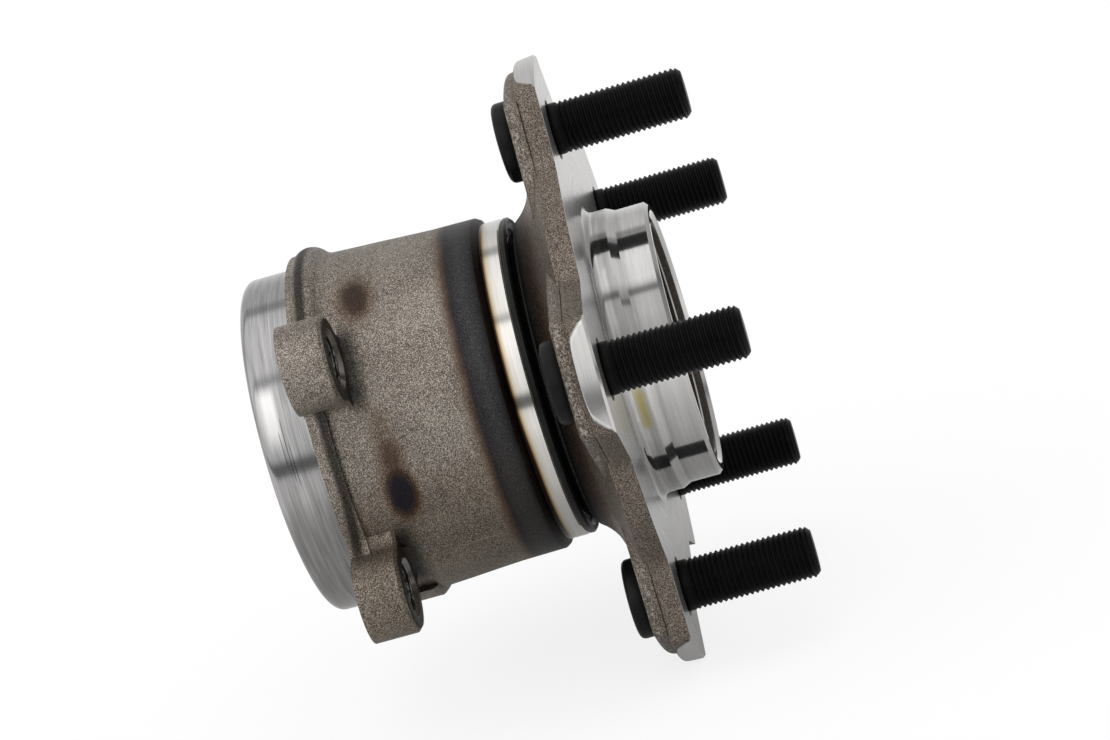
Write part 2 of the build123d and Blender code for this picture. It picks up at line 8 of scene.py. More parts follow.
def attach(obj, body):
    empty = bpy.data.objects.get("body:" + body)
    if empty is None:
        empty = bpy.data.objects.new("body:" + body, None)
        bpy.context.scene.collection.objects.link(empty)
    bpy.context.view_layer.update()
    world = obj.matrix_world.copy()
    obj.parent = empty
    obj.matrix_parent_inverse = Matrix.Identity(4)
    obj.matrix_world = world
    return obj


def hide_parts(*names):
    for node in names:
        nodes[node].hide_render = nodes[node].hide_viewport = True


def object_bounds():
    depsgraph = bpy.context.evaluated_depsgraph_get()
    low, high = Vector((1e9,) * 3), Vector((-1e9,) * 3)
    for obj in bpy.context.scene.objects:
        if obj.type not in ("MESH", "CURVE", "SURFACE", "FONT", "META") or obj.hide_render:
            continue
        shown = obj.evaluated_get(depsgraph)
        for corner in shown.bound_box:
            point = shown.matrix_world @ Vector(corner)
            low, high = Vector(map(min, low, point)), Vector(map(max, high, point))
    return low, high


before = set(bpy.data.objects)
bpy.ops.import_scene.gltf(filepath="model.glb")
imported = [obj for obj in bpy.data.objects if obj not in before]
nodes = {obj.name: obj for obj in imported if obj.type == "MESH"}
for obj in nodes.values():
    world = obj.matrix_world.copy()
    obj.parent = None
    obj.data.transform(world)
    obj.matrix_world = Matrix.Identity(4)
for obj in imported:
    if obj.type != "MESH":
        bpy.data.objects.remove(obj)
cad_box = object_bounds()


# ---------------------------------------------------------------------------------------------------
# Camera: a long lens a little above the hub axis, rolled so that the axis climbs to the right.
# The image is 1110 by 740, and the whole unit stands in the middle of it.
# ---------------------------------------------------------------------------------------------------
IMAGE_WIDTH = 1110
FOCAL_PIXELS = 3112.0
SENSOR_WIDTH = 36.0
CLIP_START = 0.01
CLIP_END = 20
CAMERA_PLACE = Vector((0.70255, 0.06156, 0.18926))
CAMERA_RIGHT = Vector((-0.02947873, 0.95728065, -0.2876539))
CAMERA_UP = Vector((-0.27738609, 0.2686416, 0.92243626))

lens = bpy.data.cameras.new("studio_camera")
lens.sensor_width = SENSOR_WIDTH
lens.lens = FOCAL_PIXELS / IMAGE_WIDTH * SENSOR_WIDTH
lens.clip_start = CLIP_START
lens.clip_end = CLIP_END
camera = bpy.data.objects.new("studio_camera", lens)
bpy.context.scene.collection.objects.link(camera)
backward = CAMERA_RIGHT.cross(CAMERA_UP)
turn = Matrix((CAMERA_RIGHT, CAMERA_UP, backward)).transposed()
camera.matrix_world = Matrix.Translation(CAMERA_PLACE) @ turn.to_4x4()
bpy.context.scene.camera = camera
bpy.context.scene.view_settings.view_transform = "Standard"


# ---------------------------------------------------------------------------------------------------
# Studio: white card on every side, lit by long soft panels with narrow dark gaps between them, and a
# white table under the unit. The gaps show as thin lines in the turned steel.
# ---------------------------------------------------------------------------------------------------
def fill_inputs(tree, made, inputs):
    """Sets each input of a node to a plain value, or joins it to another node's socket."""
    for name, value in inputs.items():
        if isinstance(value, bpy.types.NodeSocket):
            tree.links.new(value, made.inputs[name])
        else:
            made.inputs[name].default_value = value


def add_node(tree, kind, inputs=None, **settings):
    """A node with its settings made and its inputs filled."""
    made = tree.nodes.new(kind)
    for name, value in settings.items():
        setattr(made, name, value)
    fill_inputs(tree, made, inputs or {})
    return made


def maths(tree, operation, *values):
    """One Math node on plain numbers or sockets."""
    return add_node(tree, "ShaderNodeMath", dict(enumerate(values)), operation=operation).outputs[0]


def vector_maths(tree, operation, *values):
    """One Vector Math node on plain vectors or sockets."""
    made = add_node(tree, "ShaderNodeVectorMath", dict(enumerate(values)), operation=operation)
    return made.outputs["Value" if operation == "LENGTH" else "Vector"]


def ramp(tree, factor, stops):
    """A Color Ramp whose stops are (place, colour)."""
    made = add_node(tree, "ShaderNodeValToRGB", {"Fac": factor})
    elements = made.color_ramp.elements
    while len(elements) < len(stops):
        elements.new(0.5)
    for element, (place, colour) in zip(elements, stops):
        element.position = place
        element.color = (*colour, 1) if len(colour) == 3 else colour
    return made.outputs


def seen_or_lit(tree, seen, lit):
    """The shader seen where a camera ray meets it directly or through glass, and the shader lit elsewhere."""
    path = add_node(tree, "ShaderNodeLightPath").outputs
    direct = maths(tree, "MAXIMUM", path["Is Camera Ray"], path["Is Transmission Ray"])
    return add_node(tree, "ShaderNodeMixShader", {0: direct, 1: lit.outputs[0], 2: seen.outputs[0]})


# Brightness of the room by direction, in degrees up from the level in front, over the top to behind.
# Two soft panels stand in front and overhead; the narrow low levels are the gaps between them.
PANELS = [
    (-180, 0.80), (-150, 0.55), (-90, 0.35), (-20, 0.50), (-4, 0.50), (-2.5, 0.05), (5.5, 0.05), (9, 0.85),
    (30, 1.05), (42, 1.25), (58, 1.30), (60.5, 0.42), (63.5, 0.42), (67, 1.05), (95, 1.10), (117, 0.95),
    (120, 0.32), (126, 0.32), (130, 0.72), (152, 0.62), (180, 0.80),
]
WHEEL_SIDE_DIMMED = 0.45
WHITE = (1.0, 1.0, 1.0, 1.0)

world = bpy.data.worlds.new("studio")
bpy.context.scene.world = world
world.use_nodes = True
tree = world.node_tree
tree.nodes.clear()
direction = add_node(tree, "ShaderNodeTexCoord").outputs["Generated"]
parts = add_node(tree, "ShaderNodeSeparateXYZ", {"Vector": direction}).outputs
steepness = maths(tree, "ARCTAN2", parts["Z"], parts["X"])
turned_share = maths(tree, "MULTIPLY_ADD", steepness, 0.5 / pi, 0.5)
panels = ramp(tree, turned_share, [((angle + 180) / 360, (level,) * 3) for angle, level in PANELS])
dimmed = maths(tree, "MULTIPLY_ADD", maths(tree, "MAXIMUM", parts["Y"], 0.0), -WHEEL_SIDE_DIMMED, 1.0)
lit = add_node(tree, "ShaderNodeBackground", {"Color": panels["Color"], "Strength": dimmed})
card = add_node(tree, "ShaderNodeBackground", {"Color": WHITE, "Strength": 1.0})
add_node(tree, "ShaderNodeOutputWorld", {"Surface": seen_or_lit(tree, card, lit).outputs[0]})

# The table reads white and keeps a soft shadow. Steel shows it grey underneath and paler further off.
TABLE_HALF = 1.5
TABLE_GAP = 0.0004
TABLE_PAINT = (0.25, 0.25, 0.25, 1.0)
TABLE_GLOW = 0.80
TABLE_GLOW_BY_DISTANCE = [
    (0.0, 0.20), (0.045, 0.24), (0.07, 0.31), (0.106, 0.38), (0.18, 0.50), (0.26, 0.68), (0.35, 0.65),
]
table_z = cad_box[0][2] - TABLE_GAP
table_mesh = bpy.data.meshes.new("studio_table")
corners = [(x * TABLE_HALF, y * TABLE_HALF, table_z) for x, y in ((-1, -1), (1, -1), (1, 1), (-1, 1))]
table_mesh.from_pydata(corners, [], [(0, 1, 2, 3)])
table = bpy.data.objects.new("studio_table", table_mesh)
bpy.context.scene.collection.objects.link(table)
table_paint = bpy.data.materials.new("studio_table_paint")
table_paint.use_nodes = True
tree = table_paint.node_tree
tree.nodes.clear()
spot = add_node(tree, "ShaderNodeTexCoord").outputs["Object"]
distance = vector_maths(tree, "LENGTH", vector_maths(tree, "MULTIPLY", spot, (1, 1, 0)))
reflected = ramp(tree, distance, [(place, (level,) * 3) for place, level in TABLE_GLOW_BY_DISTANCE])
glow_light = add_node(tree, "ShaderNodeEmission", {"Color": reflected["Color"], "Strength": 1.0})
glow_seen = add_node(tree, "ShaderNodeEmission", {"Color": WHITE, "Strength": TABLE_GLOW})
glow = seen_or_lit(tree, glow_seen, glow_light)
paint = add_node(tree, "ShaderNodeBsdfDiffuse", {"Color": TABLE_PAINT})
both = add_node(tree, "ShaderNodeAddShader", {0: glow.outputs[0], 1: paint.outputs[0]})
add_node(tree, "ShaderNodeOutputMaterial", {"Surface": both.outputs[0]})
table_mesh.materials.append(table_paint)


# ---------------------------------------------------------------------------------------------------
# Outer ring: one hot-forged steel ring, shot-blasted, then turned on the spigot, the seat and the land
# beside the seal. Induction hardening of the raceways leaves a blue-black band and brown spots.
# ---------------------------------------------------------------------------------------------------
SPIGOT_SEAT_Y = -69.0
LAND_EDGE_Y = -23.7
EAR_HOLE_PLACES = [(41.45, 27.95), (41.45, -27.95), (-45.7, 20.3), (-45.7, -20.3)]
EAR_HOLE_RADIUS = 6.0
EAR_HOLE_LEAD_IN = 1.0
EAR_OUTER_Y = -58.0
BODY_RADIUS = 41.2
RING_BORE_RADIUS = 36.2


def new_finish(name):
    """A material with one Principled shader, its tree and the shader."""
    finish = bpy.data.materials.new(name)
    finish.use_nodes = True
    tree = finish.node_tree
    tree.nodes.clear()
    shader = add_node(tree, "ShaderNodeBsdfPrincipled")
    add_node(tree, "ShaderNodeOutputMaterial", {"Surface": shader.outputs["BSDF"]})
    return finish, tree, shader


def split(tree, point):
    """The x, y and z of a point."""
    return add_node(tree, "ShaderNodeSeparateXYZ", {"Vector": point}).outputs


def point_in_millimetres(tree):
    """The point that is being shaded, in millimetres."""
    return vector_maths(tree, "MULTIPLY", add_node(tree, "ShaderNodeTexCoord").outputs["Object"], (1000,) * 3)


def axis_distance(tree, x, z):
    """The distance from the Y axis."""
    return maths(tree, "SQRT", maths(tree, "MULTIPLY_ADD", x, x, maths(tree, "MULTIPLY", z, z)))


def round_axis(tree, point):
    """The point's y, its distance from the hub axis and its angle round it."""
    x, y, z = split(tree, point)
    return y, axis_distance(tree, x, z), maths(tree, "ARCTAN2", z, x)


def share_between(tree, value, start, end, **settings):
    """0 at start and 1 at end, in a straight line unless told otherwise."""
    limits = {"Value": value, "From Min": start, "From Max": end, "To Min": 0.0, "To Max": 1.0}
    return add_node(tree, "ShaderNodeMapRange", limits, **settings).outputs["Result"]


def rises(tree, value, start, end):
    """0 before start and 1 after end, smoothly."""
    return share_between(tree, value, start, end, interpolation_type="SMOOTHSTEP")


def falls(tree, value, start, end):
    """1 before start and 0 after end, smoothly."""
    return maths(tree, "SUBTRACT", 1.0, rises(tree, value, start, end))


def times(tree, product, *others):
    """The product of numbers or sockets."""
    for other in others:
        product = maths(tree, "MULTIPLY", product, other)
    return product


def within(tree, value, start, full, last, end):
    """0 before start, 1 from full to last and 0 after end, smoothly."""
    return times(tree, rises(tree, value, start, full), falls(tree, value, last, end))


def within_degrees(tree, angle, *limits):
    """The same for an angle round the axis, with its limits in degrees."""
    return within(tree, angle, *(radians(limit) for limit in limits))


def distance_from(tree, value, middle):
    """How far value is from middle, either way."""
    return maths(tree, "ABSOLUTE", maths(tree, "SUBTRACT", value, middle))


def blend_colours(tree, share, first, second, mode="MIX"):
    """first where share is 0 and second where it is 1."""
    first, second = ((*colour, 1) if isinstance(colour, tuple) else colour for colour in (first, second))
    inputs = {0: share, 6: first, 7: second}
    return add_node(tree, "ShaderNodeMix", inputs, data_type="RGBA", blend_type=mode).outputs[2]


def blend_values(tree, share, first, second):
    """first where share is 0 and second where it is 1, as numbers."""
    return add_node(tree, "ShaderNodeMix", {0: share, 2: first, 3: second}, data_type="FLOAT").outputs[0]


def grain(tree, point, size, detail=2.0, roughness=0.6):
    """Noise with features about size millimetres across, from 0 to 1."""
    inputs = {"Vector": point, "Scale": 1 / size, "Detail": detail, "Roughness": roughness}
    return add_node(tree, "ShaderNodeTexNoise", inputs).outputs["Fac"]


def turning_marks(tree, along, angle, spacing, sweep=1.5):
    """Fine tool marks that run round the axis: quick along the axis and slow round it."""
    across = times(tree, maths(tree, "COSINE", angle), sweep)
    upward = times(tree, maths(tree, "SINE", angle), sweep)
    stretched = {"X": maths(tree, "DIVIDE", along, spacing), "Y": across, "Z": upward}
    return grain(tree, add_node(tree, "ShaderNodeCombineXYZ", stretched).outputs[0], 1.0, detail=3.0)


# Shot-blasted skin: its shades, and the sizes in millimetres of its pits, dimples, patches and glints.
FORGED_STOPS = [(0.30, (0.086, 0.071, 0.058)), (0.50, (0.226, 0.192, 0.161)), (0.70, (0.54, 0.49, 0.43))]
FORGED_ROUGHNESS = (0.62, 0.42)
PIT_SIZE = 0.27
DIMPLE_SIZE = 1.3
PATCH_SIZE = 13.0
# The glints are painted highlights: bright specks blended into the skin's colour.
GLINT_SIZE = 0.25
GLINT_TINT = (0.78, 0.72, 0.64)
GLINT_RISE = (0.64, 0.74)
GLINT_COVER = 0.75
# What each of them adds to the skin's shade and to its height.
SHADE_START = -0.27
SHADE_BY_PITS = 1.1
SHADE_BY_DIMPLES = 0.20
SHADE_BY_PATCHES = 0.24
HEIGHT_BY_PITS = 0.6
HEIGHT_BY_DIMPLES = 0.8


def forged_skin(tree, point):
    """Colour, roughness, height and pits of the skin: brown-grey, with fine pits and painted glint specks."""
    pits = grain(tree, point, PIT_SIZE, detail=1.0)
    dimples = grain(tree, point, DIMPLE_SIZE, detail=3.0)
    patches = grain(tree, point, PATCH_SIZE, detail=4.0, roughness=0.5)
    shade = maths(tree, "MULTIPLY_ADD", dimples, SHADE_BY_DIMPLES, SHADE_START)
    shade = maths(tree, "MULTIPLY_ADD", pits, SHADE_BY_PITS, shade)
    shade = maths(tree, "MULTIPLY_ADD", patches, SHADE_BY_PATCHES, shade)
    colour = ramp(tree, shade, FORGED_STOPS)["Color"]
    # Painted highlights: glint specks in a bright tint.
    glint = rises(tree, grain(tree, point, GLINT_SIZE, detail=0.0), *GLINT_RISE)
    colour = blend_colours(tree, times(tree, glint, GLINT_COVER), colour, GLINT_TINT)
    height = maths(tree, "MULTIPLY_ADD", pits, HEIGHT_BY_PITS, times(tree, dimples, HEIGHT_BY_DIMPLES))
    return colour, blend_values(tree, shade, *FORGED_ROUGHNESS), height, pits


# Turned steel is given by its marks' spacing in millimetres, its dark and light grey, and the roughness
# of the dark and the light marks. Its green and blue are shares of its red.
STEEL_GREEN = 0.985
STEEL_BLUE = 0.96
BROAD_MARKS = 6
BROAD_SWEEP = 2.5
MARK_SPREAD = (0.32, 0.68)


def turned_steel(tree, along, angle, turned, blue=STEEL_BLUE):
    """Colour, roughness and height of lathe-turned steel."""
    spacing, dark, light, matt, bright = turned
    marks = turning_marks(tree, along, angle, spacing)
    broad = turning_marks(tree, along, angle, spacing * BROAD_MARKS, sweep=BROAD_SWEEP)
    mixed = maths(tree, "MULTIPLY_ADD", broad, 0.5, times(tree, marks, 0.5))
    greys = [(grey, grey * STEEL_GREEN, grey * blue) for grey in (dark, light)]
    colour = ramp(tree, mixed, list(zip(MARK_SPREAD, greys)))["Color"]
    return colour, blend_values(tree, mixed, matt, bright), mixed


def raised(tree, height, strength, depth):
    """The normal of a surface raised by height, with depth in metres."""
    inputs = {"Height": height, "Strength": strength, "Distance": depth}
    return add_node(tree, "ShaderNodeBump", inputs).outputs[0]


# Both forged and turned steel: how deep the skin's pits look, and the turned marks as a share of them.
STEEL_BUMP = (0.5, 0.00024)
TURNED_HEIGHT = 0.05
LAND_TURNED = (0.12, 0.72, 0.90, 0.17, 0.10)
SPIGOT_TURNED = (0.20, 0.25, 0.57, 0.22, 0.10)
SPIGOT_BLUE = 0.98
RING_METAL = 0.9
# Painted shade: the ring's side that faces the table is darker and browner, fading in between these heights.
LOW_SIDE_ZS = (-12.0, 6.0)
LOW_SKIN_PAINTED_SHADE = (0.74, 0.71, 0.67)
LOW_SPIGOT_PAINTED_SHADE = (0.72, 0.71, 0.70)
# A bright streak on the spigot is a painted highlight, and handling left dark scratches, given as
# (y, from angle, to angle).
SPIGOT_HIGHLIGHT_TINT = (0.88, 0.87, 0.86)
SPIGOT_HIGHLIGHT_COVER = 0.85
SPIGOT_HIGHLIGHT_YS = (-80, -78, -76.4, -75)
SPIGOT_HIGHLIGHT_ANGLES = (13, 22, 32, 37)
SCRATCHES = [(-75.4, 3, 26), (-74.7, 1, 18), (-76.3, 8, 22)]
SCRATCH_TINT = (0.07, 0.07, 0.07)
SCRATCH_COVER = 0.7
SCRATCH_HALF_WIDTH = (0.05, 0.17)
SCRATCH_FADE = 3
# The die's parting line runs straight along the body, then turns down by degrees for each millimetre.
PARTING_ANGLE = -36.6
PARTING_BEND_Y = -46.4
PARTING_BEND = -1.9
PARTING_HALF_WIDTH = (0.003, 0.010)
PARTING_END_YS = (-36.0, -34.0)
PARTING_COVER = 0.10
# Heat tint left by the induction coils: (y, colour, cover) along the hardened band.
HEAT_BAND = [
    (-35.2, (0.17, 0.13, 0.09), 0.0),
    (-33.8, (0.125, 0.080, 0.045), 0.40),
    (-32.8, (0.070, 0.038, 0.022), 0.80),
    (-31.7, (0.020, 0.015, 0.017), 0.93),
    (-30.6, (0.022, 0.022, 0.027), 0.95),
    (-28.6, (0.033, 0.033, 0.034), 0.92),
    (-26.6, (0.020, 0.021, 0.026), 0.95),
    (-25.5, (0.014, 0.012, 0.013), 0.97),
    (-24.7, (0.012, 0.006, 0.003), 1.0),
    (-23.9, (0.005, 0.003, 0.002), 1.0),
]
BAND_MIDDLE_YS = (-31.6, -30.2, -26.8, -25.4)
BAND_LOW_TINT = (0.034, 0.032, 0.032)
BAND_LOW_COVER = 0.7
BAND_SPECK_TINTS = ((0.105, 0.115, 0.135), (0.125, 0.105, 0.085))
BAND_SPECK_RISE = (0.50, 0.70)
BAND_SPECK_COVER = 0.45
# Spots where the coil's leads touched: (angle round the axis, y, reach round, reach along, strength).
HEAT_SPOTS = [
    (59, -53.2, 10.5, 6.0, 0.64),
    (-8.5, -53.3, 9.6, 5.2, 1.0),
    (3, -53.3, 10.5, 4.6, 0.50),
    (12, -53.6, 9.0, 3.8, 0.32),
    (-128, -53.0, 9.5, 5.5, 0.8),
    (172, -53.2, 9.0, 5.4, 0.7),
    (113, -53.0, 9.5, 5.5, 0.6),
]
SPOT_STOPS = [
    (0.0, (0.17, 0.12, 0.08, 0.0)),
    (0.25, (0.12, 0.066, 0.032, 0.42)),
    (0.55, (0.046, 0.022, 0.012, 0.88)),
    (0.85, (0.013, 0.011, 0.017, 0.97)),
]
SPOT_FADE = (0.15, 1.15)
SPOT_RAGGED = 0.16
# The tints' edges wander along the skin and are ragged from pit to pit, by (reach, start) in millimetres.
TINT_WANDER_SIZE = 6.0
TINT_WANDER = (1.5, -0.75)
TINT_RAGGED = (1.6, -0.8)
HEAT_ROUGHNESS = 0.44
# Straw tint on the turned land beside the band, by distance in from its edge in millimetres. It reaches
# further on the low side.
STRAW_WIDTH = 4.0
STRAW_LOW_REACH = 0.45
LAND_STRAW = [
    (0.0, (0.010, 0.005, 0.003)),
    (0.35, (0.045, 0.022, 0.010)),
    (0.62, (0.42, 0.29, 0.16)),
    (1.1, (0.80, 0.70, 0.54)),
    (1.8, (0.95, 0.92, 0.86)),
    (2.6, (1.0, 0.985, 0.96)),
]
# Painted shade lies round the ears' faces, as the ears' shadows, and along the web, where it leans as the web
# runs down.
PAINTED_SHADE_TINT = (0.012, 0.010, 0.009)
PAINTED_SHADE_COVER = 0.84
EAR_SHADE_YS = (-58.5, -58.1, -57.0, -52.5)
EAR_SHADE_REACH = (11.0, 17.0)
WEB_SHADE_YS = (-67.3, -65.9, -64.9, -63.5)
WEB_SHADE_RADII = (45.0, 46.0)
WEB_SHADE_LEAN = (-5.7, -0.5)
WEB_SHADE_LEAN_MOST = 2.2
WEB_SHADE_RAGGED = 0.5


def mark_spigot(tree, colour, y, angle):
    """Adds the painted highlight streak and the scratches to the spigot's colour."""
    # Painted highlight: a bright streak over these angles and heights.
    streak = times(tree, within_degrees(tree, angle, *SPIGOT_HIGHLIGHT_ANGLES), within(tree, y, *SPIGOT_HIGHLIGHT_YS))
    colour = blend_colours(tree, times(tree, streak, SPIGOT_HIGHLIGHT_COVER), colour, SPIGOT_HIGHLIGHT_TINT)
    for scratch_y, start, end in SCRATCHES:
        near = falls(tree, distance_from(tree, y, scratch_y), *SCRATCH_HALF_WIDTH)
        reach = within_degrees(tree, angle, start, start + SCRATCH_FADE, end - SCRATCH_FADE, end)
        colour = blend_colours(tree, times(tree, near, reach, SCRATCH_COVER), colour, SCRATCH_TINT)
    return colour


def mark_parting(tree, colour, y, angle):
    """Adds the faint bright parting line to the skin's colour."""
    bend = maths(tree, "MAXIMUM", maths(tree, "SUBTRACT", PARTING_BEND_Y, y), 0.0)
    line = maths(tree, "MULTIPLY_ADD", bend, radians(PARTING_BEND), radians(PARTING_ANGLE))
    near = falls(tree, distance_from(tree, angle, line), *PARTING_HALF_WIDTH)
    shown = times(tree, near, falls(tree, y, *PARTING_END_YS), PARTING_COVER)
    return blend_colours(tree, shown, colour, GLINT_TINT)


def tint_band(tree, colour, y, uneven, pits, facing_low):
    """Adds the hardened band, blue-black with brown margins, and gives how much of the skin it covers."""
    start, end = HEAT_BAND[0][0], HEAT_BAND[-1][0]
    stops = [((place - start) / (end - start), (*tint, cover)) for place, tint, cover in HEAT_BAND]
    heat = ramp(tree, share_between(tree, maths(tree, "ADD", y, uneven), start, end), stops)
    in_middle = within(tree, y, *BAND_MIDDLE_YS)
    low_middle = times(tree, in_middle, facing_low, BAND_LOW_COVER)
    band = blend_colours(tree, low_middle, heat["Color"], BAND_LOW_TINT)
    colour = blend_colours(tree, heat["Alpha"], colour, band)
    specks = times(tree, rises(tree, pits, *BAND_SPECK_RISE), in_middle, BAND_SPECK_COVER)
    colour = blend_colours(tree, specks, colour, blend_colours(tree, facing_low, *BAND_SPECK_TINTS))
    return colour, heat["Alpha"]


def tint_spots(tree, colour, point, uneven):
    """Adds the heat spots, and gives how much of the skin they cover."""
    hottest = 0.0
    for spot_angle, spot_y, reach_round, reach_along, strength in HEAT_SPOTS:
        spot_turn = radians(spot_angle)
        centre = (BODY_RADIUS * cos(spot_turn), spot_y, BODY_RADIUS * sin(spot_turn))
        squeeze = (1 / reach_round, 1 / reach_along, 1 / reach_round)
        off = vector_maths(tree, "MULTIPLY", vector_maths(tree, "SUBTRACT", point, centre), squeeze)
        away = maths(tree, "ADD", vector_maths(tree, "LENGTH", off), times(tree, uneven, SPOT_RAGGED))
        hottest = maths(tree, "MAXIMUM", hottest, times(tree, falls(tree, away, *SPOT_FADE), strength))
    spots = ramp(tree, hottest, SPOT_STOPS)
    return blend_colours(tree, spots["Alpha"], colour, spots["Color"]), spots["Alpha"]


def straw_land(tree, land, y, facing_low):
    """The land's colour under its straw tint."""
    inward = maths(tree, "SUBTRACT", y, LAND_EDGE_Y)
    inward = maths(tree, "SUBTRACT", inward, times(tree, facing_low, STRAW_LOW_REACH))
    stops = [(place / STRAW_WIDTH, tint) for place, tint in LAND_STRAW]
    straw = ramp(tree, maths(tree, "DIVIDE", inward, STRAW_WIDTH), stops)["Color"]
    return blend_colours(tree, 1.0, land, straw, "MULTIPLY")


def web_painted_shade(tree, y, radius, angle, ragged):
    """Where painted shade lies along the web, standing for a groove's shade."""
    lean = maths(tree, "MAXIMUM", maths(tree, "MULTIPLY_ADD", angle, *WEB_SHADE_LEAN), 0.0)
    lean = maths(tree, "MINIMUM", lean, WEB_SHADE_LEAN_MOST)
    place = maths(tree, "ADD", maths(tree, "ADD", y, lean), times(tree, ragged, WEB_SHADE_RAGGED))
    return times(tree, within(tree, place, *WEB_SHADE_YS), falls(tree, radius, *WEB_SHADE_RADII))


def make_outer_ring_finish():
    finish, tree, shader = new_finish("outer_ring_steel")
    point = point_in_millimetres(tree)
    y, radius, angle = round_axis(tree, point)
    skin, skin_roughness, skin_height, pits = forged_skin(tree, point)
    land, land_roughness, land_height = turned_steel(tree, y, angle, LAND_TURNED)
    cut, cut_roughness, cut_height = turned_steel(tree, y, angle, SPIGOT_TURNED, blue=SPIGOT_BLUE)
    facing_low = falls(tree, split(tree, point)["Z"], *LOW_SIDE_ZS)
    # Painted shade on the low side of the skin and of the spigot.
    skin = blend_colours(tree, facing_low, skin, LOW_SKIN_PAINTED_SHADE, "MULTIPLY")
    cut = blend_colours(tree, facing_low, cut, LOW_SPIGOT_PAINTED_SHADE, "MULTIPLY")
    cut = mark_spigot(tree, cut, y, angle)
    skin = mark_parting(tree, skin, y, angle)

    wander = maths(tree, "MULTIPLY_ADD", grain(tree, point, TINT_WANDER_SIZE, detail=3.0), *TINT_WANDER)
    ragged = maths(tree, "MULTIPLY_ADD", pits, *TINT_RAGGED)
    uneven = maths(tree, "ADD", wander, ragged)
    skin, band_cover = tint_band(tree, skin, y, uneven, pits, facing_low)
    skin, spot_cover = tint_spots(tree, skin, point, uneven)
    heated = maths(tree, "MAXIMUM", band_cover, spot_cover)
    skin_roughness = blend_values(tree, heated, skin_roughness, HEAT_ROUGHNESS)

    # Turned zones: land, spigot, seat, the bore and the lead-ins of the ears' holes.
    on_land = rises(tree, y, LAND_EDGE_Y - 0.05, LAND_EDGE_Y + 0.05)
    at_spigot = falls(tree, y, SPIGOT_SEAT_Y - 0.02, SPIGOT_SEAT_Y + 0.02)
    inside = falls(tree, radius, RING_BORE_RADIUS, RING_BORE_RADIUS + 0.3)
    turned = maths(tree, "MAXIMUM", maths(tree, "MAXIMUM", on_land, at_spigot), inside)
    lead_in = EAR_HOLE_RADIUS + EAR_HOLE_LEAD_IN
    # Painted shade: the ears' shadows on the body and the web's groove.
    painted_shade = web_painted_shade(tree, y, radius, angle, ragged)
    for hole_x, hole_z in EAR_HOLE_PLACES:
        off = split(tree, vector_maths(tree, "SUBTRACT", point, (hole_x, 0, hole_z)))
        from_hole = axis_distance(tree, off["X"], off["Z"])
        turned = maths(tree, "MAXIMUM", turned, falls(tree, from_hole, lead_in + 0.03, lead_in + 0.08))
        ear_shade = times(tree, within(tree, y, *EAR_SHADE_YS), falls(tree, from_hole, *EAR_SHADE_REACH))
        painted_shade = maths(tree, "MAXIMUM", painted_shade, ear_shade)
    skin = blend_colours(tree, times(tree, painted_shade, PAINTED_SHADE_COVER), skin, PAINTED_SHADE_TINT)

    cut = blend_colours(tree, on_land, cut, straw_land(tree, land, y, facing_low))
    cut_roughness = blend_values(tree, on_land, cut_roughness, land_roughness)
    cut_height = times(tree, blend_values(tree, on_land, cut_height, land_height), TURNED_HEIGHT)
    looks = {
        "Base Color": blend_colours(tree, turned, skin, cut),
        "Roughness": blend_values(tree, turned, skin_roughness, cut_roughness),
        "Normal": raised(tree, blend_values(tree, turned, skin_height, cut_height), *STEEL_BUMP),
        "Metallic": RING_METAL,
    }
    fill_inputs(tree, shader, looks)
    return finish


def dress(node_name, finish):
    """Gives a CAD node its finish."""
    piece = nodes[node_name]
    piece.data.materials.clear()
    piece.data.materials.append(finish)


dress("outer_ring", make_outer_ring_finish())

# The ears' threads were cut after the ring was blasted, so their flanks are bright and oily.
EAR_THREAD_PITCH = 1.5
EAR_THREAD_DEPTH = 0.55
EAR_THREAD_STEPS = 10
EAR_THREAD_INSET = 0.9
EAR_THREAD_RUN_OUT = 0.5
EAR_THREAD_SEGMENTS = 48
EAR_THREAD_CLEARANCE = 0.01
EAR_THREAD_BURIED = 0.1
# For every thread: where its flanks begin and end as shares of half a pitch, the smooth angle in degrees,
# and, in metres, what counts as lying on the axis and on the thread.
THREAD_CREST = 0.14
THREAD_ROOT = 0.86
THREAD_SMOOTH = 50
ON_AXIS = 1e-6
THREAD_SLACK = 1e-5


def lathe(name, outline, segments):
    """A mesh turned about the Y axis from (radius, y) points in metres. Points on the axis become poles."""
    shape = bmesh.new()
    rings = []
    for radius, y in outline:
        turns = [2 * pi * step / segments for step in range(segments if radius > ON_AXIS else 1)]
        rings.append([shape.verts.new((radius * cos(turn), y, radius * sin(turn))) for turn in turns])
    closing = [(rings[-1], rings[0])] if len(rings[0]) > 1 else []
    for first, second in [*zip(rings, rings[1:]), *closing]:
        for step in range(segments):
            following = (step + 1) % segments
            if len(first) == 1:
                corners = (first[0], second[step], second[following])
            elif len(second) == 1:
                corners = (first[step], second[0], first[following])
            else:
                corners = (first[step], second[step], second[following], first[following])
            shape.faces.new(corners)
    bmesh.ops.recalc_face_normals(shape, faces=shape.faces)
    mesh = bpy.data.meshes.new(name)
    shape.to_mesh(mesh)
    shape.free()
    return mesh


